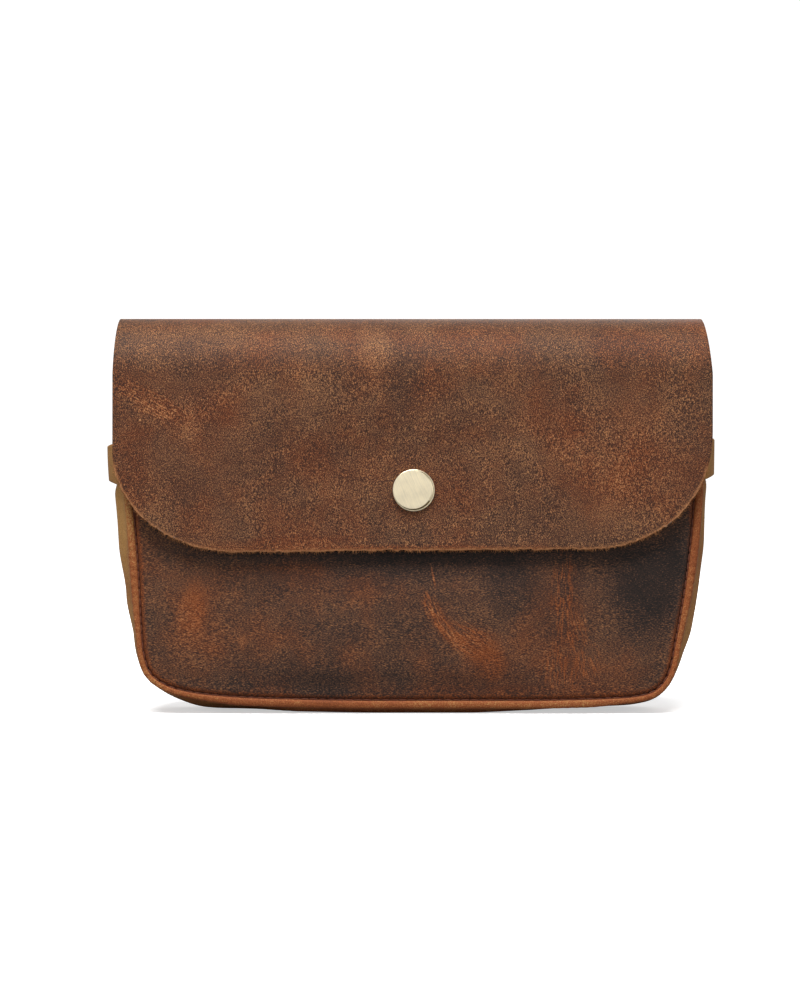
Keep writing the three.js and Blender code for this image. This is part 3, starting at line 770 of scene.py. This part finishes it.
def front_leather():
    c = bpy.context.scene.pouch_colours
    marks = (
        ((85, -18, 46), (20, 12, 24), 8, -0.23, -0.7, None),
        ((97, -18, 60), (10, 12, 18), 0, -0.14, -0.7, None),
        ((36, -18, 46), (13, 12, 17), 0, -0.13, -0.4, None),
        ((6, -18, 54), (46, 12, 9), 0, -0.08, -0.3, None),
        ((-79, -18, 38), (8, 12, 14), 10, 0.07, 0.5, None),
        ((-80, -18, 27), (16, 12, 8), 20, 0.03, 0.4, None),
        ((-61, -18, 26), (2.4, 12, 3.5), 0, 0.12, 0.2, None),
        ((7.4, -18, 49.5), (0.5, 12, 6.5), -11, 0.2, 0.8, None),
        ((7, -18, 38), (3.6, 12, 9), -24, 0.24, 1.0, -66),
        ((11.5, -18, 31), (3.4, 12, 11), -36, 0.2, 1.0, -54),
        ((10, -18, 34), (5, 12, 15), -34, 0.01, 0.35, None),
        ((21, -18, 27), (13, 12, 8), 25, 0.16, 1.0, -35),
        ((24, -18, 25), (12, 12, 9), 25, 0.02, 0.5, None),
        ((28, -18, 18), (8, 12, 9), 0, 0.01, 0.55, None),
        ((54, -18, 44), (6.5, 12, 30), 2, 0.16, 0.7, 88),
        ((55, -18, 38), (9, 12, 36), 3, -0.07, 0.15, None),
        ((61, -18, 25), (7, 12, 20), -16, 0.16, 0.7, -74),
        ((54, -18, 16), (13, 12, 11), 0, 0.1, 0.65, 86),
        ((30, -18, 8), (70, 12, 3.5), 0, -0.03, 0.3, None),
        ((0, -18, 10), (118, 12, 12), 0, -0.08, -0.1, None),
        # Painted shadow: a darker, less red band just below the flap's lower edge, where the flap shades the front
        # panel
        ((0, -18, 57.5), (120, 12, 6), 0, -0.14, -0.4, None),
        ((-45, -18, 48), (34, 12, 9), 0, -0.06, 0.0, None),
    )
    tones = ramp_of(c.front_dark, c.front, shades(c.pulled, 0.82), c.worn)
    red_tones = ramp_of(shades(c.front_dark, 1.2), shades(c.front_worn, 0.42), c.front_worn, c.worn)
    return oiled_leather("oiled_pull_up_front_leather", tones, red_tones, 0.388, marks, (0.5, 1, 1.35), 0.55, 0.18,
                         seam=(0.0, 1.0, c.seam, (0.16, 0.5), (0.7, 2.6)), shine=0.16)


def gusset_leather():
    c = bpy.context.scene.pouch_colours
    marks = (
        ((0, 0, 0), (130, 40, 40), 0, -0.04, 0.6, None),
        ((-104, 0, 86), (16, 40, 48), 0, 0.2, -0.35, None),
    )
    tones = ramp_of(shades(c.tan, 0.42), shades(c.tan, 0.8), c.tan, c.tan_light)
    red_tones = ramp_of(shades(c.seam_red, 0.35), shades(c.seam_red, 0.72), c.seam_red, shades(c.tan_light, 0.9))
    return oiled_leather("oiled_pull_up_gusset_leather", tones, red_tones, 0.6, marks, (1, 1, 1), 0.5, 0.34,
                         seam=(-0.05, 1.0, c.seam, (0.16, 0.5), (1.8, 9.0)), redness=0.4, shine=0.15)


def loop_leather():
    c = bpy.context.scene.pouch_colours
    tones = ramp_of(shades(c.tan, 0.4), shades(c.tan, 0.75), shades(c.tan, 0.95), c.tan_light)
    return oiled_leather("oiled_pull_up_loop_leather", tones, tones, 0.62, (), (1, 1, 1), 0.45, 0.4, shine=0.15)


def shared(name, make):
    return bpy.data.materials.get(name) or make()


def flesh():
    return shared("suede_flesh_side", lambda: flesh_side(bpy.context.scene.pouch_colours.suede))


def raw_edge():
    c = bpy.context.scene.pouch_colours
    return shared("raw_cut_edge", lambda: cut_edge("raw_cut_edge", c.fibre, shades(c.fibre, 0.35)))


def flat_lines(places, along_rows):
    """A UV map in millimetres over a panel: across and up."""
    return np.stack([places[..., 0], along_rows], axis=-1)


def cut_line(spread):
    """The cut edge of the flap on the flat leather, down the left, along the bottom and up the right."""
    return np.concatenate([spread[:, 0], spread[-1, 1:-1], spread[::-1, -1]])


def frayed_flap():
    """The grids of the back, its turned rim and the flap, the flap's flat spread, and each flap place's distance
    from the cut edge, which is made uneven.
    """
    middle, rim, around, along = panel_places(BACK_Y, -1, 44, 188)
    places, spread, front = flap_places(middle, rim, along, 122)
    places[..., 1] -= front * waves(places[..., 0], places[..., 2], 7, 60, 0.22) * (1 - snap_pull(places[..., 0], places[..., 2]))
    line = cut_line(spread)
    flat = spread.reshape(-1, 2)
    near = np.concatenate([np.sqrt(((part[:, None] - line[None]) ** 2).sum(-1)).min(1)
                           for part in np.array_split(flat, 24)]).reshape(spread.shape[:2])
    near = near + 4 * smooth((places[..., 2] - 88) / 8)
    dice = np.random.default_rng(21)
    rough = dice.normal(0, 0.2, spread.shape[:2]) * (1 - smooth((places[..., 2] - 80) / 12))
    centre = places.mean((0, 1))
    ways = np.zeros_like(places)
    ways[:, 0, 0], ways[:, -1, 0], ways[-1, :, 2] = -1, 1, -1
    lean = ways / np.maximum(np.linalg.norm(ways, axis=-1, keepdims=True), 1)
    fade = smooth((spread[..., 1] - 12) / 20)
    places = places + lean * (rough * fade)[..., None]
    return middle, rim, around, along, places, spread, near


class POUCH_OT_back_and_flap(bpy.types.Operator):
    """Makes the leather piece that is the back, the fold and the flap"""
    bl_idname = "pouch.back_and_flap"
    bl_label = "Back and flap"

    def execute(self, context):
        middle, rim, around, along, places, spread, near = frayed_flap()
        far = np.full(middle.shape[:2], 60.0)
        seam = from_seam(middle[..., 0], middle[..., 2])
        back = laid_grid("back", middle, np.stack([middle[..., 0], middle[..., 2] - MOUTH], -1), seam_mm=seam, edge_mm=far)
        rim_seam = np.broadcast_to(-rim_section(BACK_Y, -1)[0][:, None], rim.shape[:2])
        rim_uv = np.stack(np.broadcast_arrays(around[None] * SEAM_LENGTH, along[:, None]), -1)
        turned = laid_grid("back_rim", rim, rim_uv, seam_mm=rim_seam, edge_mm=np.full(rim.shape[:2], 60.0))
        flap = laid_grid("flap", places, spread, seam_mm=np.full(places.shape[:2], 60.0), edge_mm=near)
        piece = one_piece([flap, back, turned], "back_and_flap_leather", (0, MIDDLE_Y * MM, 0.08))
        size = context.scene.pouch_sizes
        area = leather_piece(piece, size.panel_leather, [flap_leather(), flesh(), raw_edge()])
        dressed(piece, "flap_leather", "back_and_flap")
        return {"FINISHED"}


class POUCH_OT_front_panel(bpy.types.Operator):
    """Makes the front panel with its rim turned in along the seam"""
    bl_idname = "pouch.front_panel"
    bl_label = "Front panel"

    def execute(self, context):
        middle, rim, around, along = panel_places(FRONT_Y, 1, 96, 196)
        x, z = middle[..., 0], middle[..., 2]
        seam = from_seam(x, z)
        inner = smooth((seam - PANEL_RING) / 9)
        pull = snap_pull(x, z)
        belly = -1.2 * hill(np.hypot(x / 63, (z - 34) / 42))
        dish = (1 - pull) * (belly + waves(x, z, 3, 46, 0.3)) + pull * (PANEL_AT_SNAP - FRONT_Y)
        share_near = np.interp(np.arctan2(z - 60, x), *share_by_angle())
        size = context.scene.pouch_sizes
        pucker = size.pucker / MM * np.sin(2 * math.pi * share_near * SEAM_LENGTH / (size.stitch / MM))
        pucker = pucker * hill((seam - PANEL_RING) / 2.2) * smooth((seam - PANEL_RING) / 1.0) * (z < MOUTH - 2)
        middle[..., 1] += dish * np.minimum(1, inner + (pull > 0.9)) - pucker * 0.6
        front = laid_grid("front", middle, np.stack([x, z], -1), seam_mm=seam)
        rim_seam = np.broadcast_to(-rim_section(FRONT_Y, 1)[0][:, None], rim.shape[:2])
        rim_uv = np.stack(np.broadcast_arrays(around[None] * SEAM_LENGTH, along[:, None]), -1)
        turned = laid_grid("front_rim", rim, rim_uv, seam_mm=rim_seam)
        piece = one_piece([front, turned], "front_panel_leather", (0, 0.1, 0.06))
        area = leather_piece(piece, size.panel_leather, [front_leather(), flesh(), raw_edge()])
        dressed(piece, "front_leather", "front_panel")
        return {"FINISHED"}


def share_by_angle():
    """Shares of the seam line by the angle at which they are seen from the panel's middle."""
    x, z, _, _ = seam_at(np.linspace(0, 1, 2000))
    angle = np.unwrap(np.arctan2(z - 60, x))
    angle = (angle + math.pi) % (2 * math.pi) - math.pi
    order = np.argsort(angle)
    return angle[order], np.linspace(0, 1, 2000)[order]


class POUCH_OT_gusset(bpy.types.Operator):
    """Makes the gusset down one side, along the base and up the other side"""
    bl_idname = "pouch.gusset"
    bl_label = "Gusset"

    def execute(self, context):
        size = context.scene.pouch_sizes
        left, base, right = seam_shares(150, 300)
        shares = np.concatenate([left, base[1:-1], right[::-1]])
        places, near = gusset_places(shares)
        reach = shares[None] * SEAM_LENGTH
        dice = np.random.default_rng(11)
        drift = np.interp(reach, np.linspace(0, SEAM_LENGTH, 60), dice.uniform(0.35, 1.25, 60))
        beat = np.sin(2 * math.pi * reach / (size.stitch / MM) + 1.6 * np.sin(reach / 17))
        pucker = size.pucker / MM * drift * beat * hill((near - 1.8) / 2.6) * smooth((near - 0.4) / 1.2)
        slow = 0.28 * np.sin(reach / 9.5 + np.sin(reach / 23)) * smooth((near - 4) / 6) * smooth((places[..., 2] - 14) / 14)
        low = smooth((places[..., 2] - 1.2) / 2.0)
        normal = grid_normals(places)
        normal *= np.sign((normal * (places - [0, MIDDLE_Y, 60])).sum(-1).mean())
        places = places + normal * ((pucker + slow) * low)[..., None]
        across = np.cumsum(np.linalg.norm(np.diff(places, axis=0, prepend=places[:1]), axis=-1), axis=0)
        uv = np.stack([np.broadcast_to(reach, across.shape), across], -1)
        band = laid_grid("gusset_band", places, uv, seam_mm=np.maximum(near, 0))
        piece = one_piece([band], "gusset_leather", (0, MIDDLE_Y * MM, 0.06))
        area = leather_piece(piece, size.gusset_leather, [gusset_leather(), flesh(), raw_edge()])
        dressed(piece, "gusset_leather", "gusset")
        return {"FINISHED"}


class POUCH_OT_loops(bpy.types.Operator):
    """Makes the two side loops behind the flap"""
    bl_idname = "pouch.loops"
    bl_label = "Side loops"

    def execute(self, context):
        size = context.scene.pouch_sizes
        leather = loop_leather()
        for side, name, reach, drop in ((-1, "left", size.left_reach, 22.4), (1, "right", size.right_reach, 20.0)):
            places = loop_places(side, reach / MM, drop)
            across = np.cumsum(np.linalg.norm(np.diff(places, axis=1, prepend=places[:, :1]), axis=-1), axis=1)
            uv = np.stack([across, places[..., 2]], -1)
            strap = laid_grid("strap", places, uv)
            piece = one_piece([strap], f"loop_{name}_leather", (side * 0.095, MIDDLE_Y * MM, (MOUTH - drop) * MM))
            leather_piece(piece, size.loop_leather, [leather, flesh(), raw_edge()], 0.2 * MM)
            dressed(piece, "loop_leather", f"loop_{name}")
        return {"FINISHED"}


def bead(length, thick):
    """One stitch of thread: a short rounded bar, as corners and faces, along X."""
    deselect()
    bpy.ops.mesh.primitive_uv_sphere_add(segments=8, ring_count=5, radius=1, location=(0, 0, 0))
    start = bpy.context.object
    bpy.ops.object.mode_set(mode="EDIT")
    bpy.ops.mesh.select_all(action="SELECT")
    bpy.ops.transform.resize(value=(length / 2, thick / 2, thick / 2))
    bpy.ops.object.mode_set(mode="OBJECT")
    corners = np.array([v.co for v in start.data.vertices])
    faces = [list(f.vertices) for f in start.data.polygons]
    bpy.data.meshes.remove(start.data)
    return corners, faces


class POUCH_OT_seams(bpy.types.Operator):
    """Makes the stitches that show in the grooves of the front and back seams"""
    bl_idname = "pouch.seams"
    bl_label = "Seam stitches"

    def execute(self, context):
        size = context.scene.pouch_sizes
        corners, faces = bead(size.stitch / MM * 1.1, 0.62)
        thread = waxed_thread(context.scene.pouch_colours.thread)
        count = int(SEAM_LENGTH / (size.stitch / MM))
        for name, depth in (("front_seam_stitches", FRONT_Y + 0.8), ("back_seam_stitches", BACK_Y - 0.8)):
            parts = []
            for share in (np.arange(count) + 0.5) / count:
                x, z, out_x, out_z = seam_at(share)
                along = np.array([-out_z, 0, out_x])
                turn = np.stack([along, [0, 1, 0], [out_x, 0, out_z]])
                parts.append((corners @ turn + [x, depth, z], faces))
            piece = many(name, parts)
            piece.data.materials.append(thread)
            dressed(piece, "gusset_leather")
        return {"FINISHED"}


class POUCH_OT_fibres(bpy.types.Operator):
    """Makes the loose fibres along the flap's cut edge"""
    bl_idname = "pouch.fibres"
    bl_label = "Cut edge fibres"

    def execute(self, context):
        size = context.scene.pouch_sizes
        places, spread = frayed_flap()[4:6]
        line = np.concatenate([places[:, 0], places[-1, 1:-1], places[::-1, -1]])
        flat = cut_line(spread)
        front = (line[:, 1] < MIDDLE_Y - 8)
        way = np.gradient(line, axis=0)
        way /= np.maximum(np.linalg.norm(way, axis=1)[:, None], 1e-9)
        reach = np.concatenate([[0], np.cumsum(np.linalg.norm(np.diff(line, axis=0), axis=1))])
        dice = np.random.default_rng(5)
        parts = []
        faces = [[0, 2, 1], [0, 1, 4, 3], [1, 2, 5, 4], [2, 0, 3, 5], [3, 4, 6], [4, 5, 6], [5, 3, 6]]
        while len(parts) < size.fibres:
            here = dice.uniform(0, reach[-1])
            i = min(int(np.searchsorted(reach, here)), len(line) - 1)
            if not front[i] or line[i][2] > 94 - 14 * dice.random():
                continue
            foot = np.array([np.interp(here, reach, line[:, k]) for k in range(3)])
            out = np.cross(way[i], [0, -1, 0])
            if out @ (line[i] - [0, line[i][1], 90]) < 0:
                out = -out
            long = size.fibre / MM * (0.24 + 0.76 * dice.random() ** 2.5)
            thick = dice.uniform(0.08, 0.17)
            foot = foot + [0, dice.uniform(0.1, 1.5), 0] - out * 0.25
            aim = out + way[i] * dice.normal(0, 0.55) + np.array([0, dice.normal(-0.1, 0.4), 0])
            aim /= np.linalg.norm(aim)
            bent = aim + way[i] * dice.normal(0, 0.5)
            side = np.cross(aim, way[i]) if abs(aim @ way[i]) < 0.95 else np.cross(aim, out)
            side /= np.linalg.norm(side)
            other = np.cross(aim, side)
            ring = [math.cos(a) * side + math.sin(a) * other for a in (0, 2.094, 4.189)]
            knee = foot + aim * long * 0.55
            tip = knee + bent / np.linalg.norm(bent) * long * 0.5
            corners = [foot + r * thick for r in ring] + [knee + r * thick * 0.7 for r in ring] + [tip]
            parts.append((np.array(corners), faces))
        piece = many("flap_edge_fibres", parts)
        c = context.scene.pouch_colours
        piece.data.materials.append(cut_edge("loose_hide_fibres", shades(c.fibre, 1.25), shades(c.fibre, 0.55)))
        dressed(piece, "flap_leather")
        return {"FINISHED"}


class POUCH_OT_snap(bpy.types.Operator):
    """Makes the snap's cap with its post, and finishes the hidden socket and stud"""
    bl_idname = "pouch.snap"
    bl_label = "Snap"

    def execute(self, context):
        size = context.scene.pouch_sizes
        c = context.scene.pouch_colours
        seat = CAP_SEAT * MM
        centre = Vector((SNAP_X * MM, seat - 0.35 * MM, SNAP_Z * MM))
        deselect()
        bpy.ops.mesh.primitive_cylinder_add(vertices=96, radius=size.cap_radius, depth=0.7 * MM,
                                            location=centre, rotation=(math.pi / 2, 0, 0))
        cap = bpy.context.object
        cap.name = cap.data.name = "snap_cap_brass"
        bpy.ops.object.transform_apply(location=True, rotation=True, scale=True)
        bpy.ops.object.mode_set(mode="EDIT")
        mesh = bmesh.from_edit_mesh(cap.data)
        bpy.ops.mesh.select_mode(type="FACE")
        bpy.ops.mesh.select_all(action="DESELECT")
        for face in mesh.faces:
            face.select = face.normal.y < -0.9
        bmesh.update_edit_mesh(cap.data)
        bpy.ops.mesh.inset(thickness=0.1 * MM, depth=0.12 * MM)
        bpy.ops.mesh.inset(thickness=0.26 * MM, depth=0.0)
        bpy.ops.mesh.inset(thickness=0.14 * MM, depth=-0.24 * MM)
        lean = size.cap_lean
        shift = Vector((-0.46 * MM, 0, 0.24 * MM))
        bpy.ops.mesh.extrude_region_move(TRANSFORM_OT_translate={"value": (shift.x, -0.5 * MM, shift.z)})
        around = Vector((SNAP_X * MM, seat - 1.2 * MM, SNAP_Z * MM)) + shift
        bpy.ops.transform.rotate(value=lean, orient_axis="X", center_override=around)
        bpy.ops.transform.rotate(value=-lean * 0.6, orient_axis="Z", center_override=around)
        bpy.ops.mesh.inset(thickness=0.12 * MM, depth=0.08 * MM)
        bpy.ops.mesh.inset(thickness=0.3 * MM, depth=0.02 * MM)
        bpy.ops.object.mode_set(mode="OBJECT")
        modified(cap, "BEVEL", width=0.06 * MM, segments=2, limit_method="ANGLE", angle_limit=math.radians(28))
        cap.data.materials.append(brass("brushed_pale_brass", c.brass, shades(c.brass, 0.77), 0.36, 24))
        # Painted shade: dark brass on the cap's faces inside its rim that turn sideways or back, for the shade in
        # the steps under the face and the shadow around it
        cap.data.materials.append(brass("painted_shade_under_cap_face", shades(c.inner_brass, 0.6), shades(c.inner_brass, 0.3), 0.5))
        for face in cap.data.polygons:
            beside = math.hypot(face.center.x - SNAP_X * MM, face.center.z - SNAP_Z * MM)
            if face.normal.y > -0.7 and beside < size.cap_radius - 0.2 * MM:
                face.material_index = 1
        deselect()
        post_length = (1.4 + 1.0) * MM
        bpy.ops.mesh.primitive_cylinder_add(vertices=28, radius=1.6 * MM, depth=post_length,
                                            location=(SNAP_X * MM, seat + post_length / 2 - 0.05 * MM, SNAP_Z * MM),
                                            rotation=(math.pi / 2, 0, 0))
        post = bpy.context.object
        bpy.ops.object.transform_apply(location=True, rotation=True, scale=True)
        deselect()
        post.select_set(True)
        cap.select_set(True)
        bpy.context.view_layer.objects.active = cap
        bpy.ops.object.join()
        bpy.ops.object.shade_smooth_by_angle(angle=math.radians(35))
        dressed(cap, "brass", "snap_cap")
        dull = brass("tumbled_dull_brass", c.inner_brass, shades(c.inner_brass, 0.5), 0.45)
        for name in ("snap_socket", "snap_stud"):
            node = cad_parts[name]
            node.data.materials.clear()
            node.data.materials.append(dull)
        return {"FINISHED"}


def area_light(name, place, aim, size, power, colour=(1, 1, 1)):
    data = bpy.data.lights.new(name, "AREA")
    data.shape = "RECTANGLE"
    data.size, data.size_y = size
    data.energy = power
    data.color = colour
    lamp = bpy.data.objects.new(name, data)
    bpy.context.scene.collection.objects.link(lamp)
    lamp.location = place
    lamp.rotation_euler = (Vector(aim) - Vector(place)).to_track_quat("-Z", "Y").to_euler()
    return lamp


class POUCH_OT_stage(bpy.types.Operator):
    """Makes the pale floor, the soft lights and the camera"""
    bl_idname = "pouch.stage"
    bl_label = "Stage"

    def execute(self, context):
        deselect()
        bpy.ops.mesh.primitive_circle_add(vertices=96, radius=9, fill_type="NGON", location=(0, 0, -0.00005))
        floor = bpy.context.object
        floor.name = "floor"
        bpy.ops.object.transform_apply(location=True)
        # White seamless paper: matt, and lit evenly, so that it stays plain behind the pouch
        material, tree, shader = new_material("white_paper_floor")
        coords = add_node(tree, "ShaderNodeTexCoord").outputs["Object"]
        far = add_node(tree, "ShaderNodeVectorMath", {0: coords}, operation="LENGTH").outputs["Value"]
        seen = add_node(tree, "ShaderNodeLightPath").outputs["Is Camera Ray"]
        glow = product(tree, ranged(tree, far, 0.12, 0.7, 0.52, 1.1), seen)
        shader.inputs["Roughness"].default_value = 0.9
        shader.inputs["Specular IOR Level"].default_value = 0.0
        shader.inputs["Emission Color"].default_value = (1, 1, 1, 1)
        tree.links.new(glow, shader.inputs["Emission Strength"])
        tree.links.new(mixed(tree, seen, linear("#9A9A9A"), linear("#F4F4F4")), shader.inputs["Base Color"])
        floor.data.materials.append(material)

        world = bpy.data.worlds.new("studio")
        world.use_nodes = True
        context.scene.world = world
        tree = world.node_tree
        tree.nodes.clear()
        seen = add_node(tree, "ShaderNodeLightPath").outputs["Is Camera Ray"]
        power = add_node(tree, "ShaderNodeMapRange", {0: seen, 1: 0.0, 2: 1.0, 3: 0.17, 4: 1.1}).outputs[0]
        sky = add_node(tree, "ShaderNodeBackground", {"Color": (1, 1, 1, 1), "Strength": power})
        add_node(tree, "ShaderNodeOutputWorld", {"Surface": sky.outputs[0]})

        area_light("key", (-0.15, -0.62, 1.35), (0, 0, 0.06), (1.0, 0.6), 30)
        area_light("front", (0.1, -2.2, 0.35), (0, 0, 0.07), (1.8, 1.6), 8)
        area_light("fill_left", (-1.3, -0.7, 0.4), (0, 0, 0.07), (0.8, 0.8), 3)
        area_light("fill_right", (1.3, -0.7, 0.4), (0, 0, 0.07), (0.8, 0.8), 3)
        area_light("back", (0.3, 1.3, 0.9), (0, 0, 0.08), (1.0, 0.8), 8)

        camera = bpy.data.objects.new("camera", bpy.data.cameras.new("camera"))
        context.scene.collection.objects.link(camera)
        camera.location = (-4.5 * MM, -872.15 * MM, 76.8 * MM)
        camera.rotation_euler = (math.pi / 2, 0, 0)
        camera.data.sensor_width = 36
        camera.data.lens = 2381 / 1000 * 36
        camera.data.clip_start, camera.data.clip_end = 0.01, 50
        context.scene.camera = camera
        context.scene.view_settings.view_transform = "Standard"
        return {"FINISHED"}


STEPS = (POUCH_OT_back_and_flap, POUCH_OT_front_panel, POUCH_OT_gusset, POUCH_OT_loops, POUCH_OT_seams,
         POUCH_OT_fibres, POUCH_OT_snap, POUCH_OT_stage)


class POUCH_PT_panel(bpy.types.Panel):
    bl_idname = "POUCH_PT_panel"
    bl_label = "Pouch"
    bl_space_type = "VIEW_3D"
    bl_region_type = "UI"
    bl_category = "Pouch"

    def draw(self, context):
        for group in (context.scene.pouch_sizes, context.scene.pouch_colours):
            box = self.layout.box()
            for name in group.__annotations__:
                box.prop(group, name)
        for step in STEPS:
            self.layout.operator(step.bl_idname)


CLASSES = (PouchSizes, PouchColours, *STEPS, POUCH_PT_panel)


def register():
    for cls in CLASSES:
        bpy.utils.register_class(cls)
    bpy.types.Scene.pouch_sizes = bpy.props.PointerProperty(type=PouchSizes)
    bpy.types.Scene.pouch_colours = bpy.props.PointerProperty(type=PouchColours)


def unregister():
    del bpy.types.Scene.pouch_colours
    del bpy.types.Scene.pouch_sizes
    for cls in reversed(CLASSES):
        bpy.utils.unregister_class(cls)


def main():
    register()
    for step in STEPS:
        group, name = step.bl_idname.split(".")
        getattr(getattr(bpy.ops, group), name)()


if __name__ == "__main__":
    main()
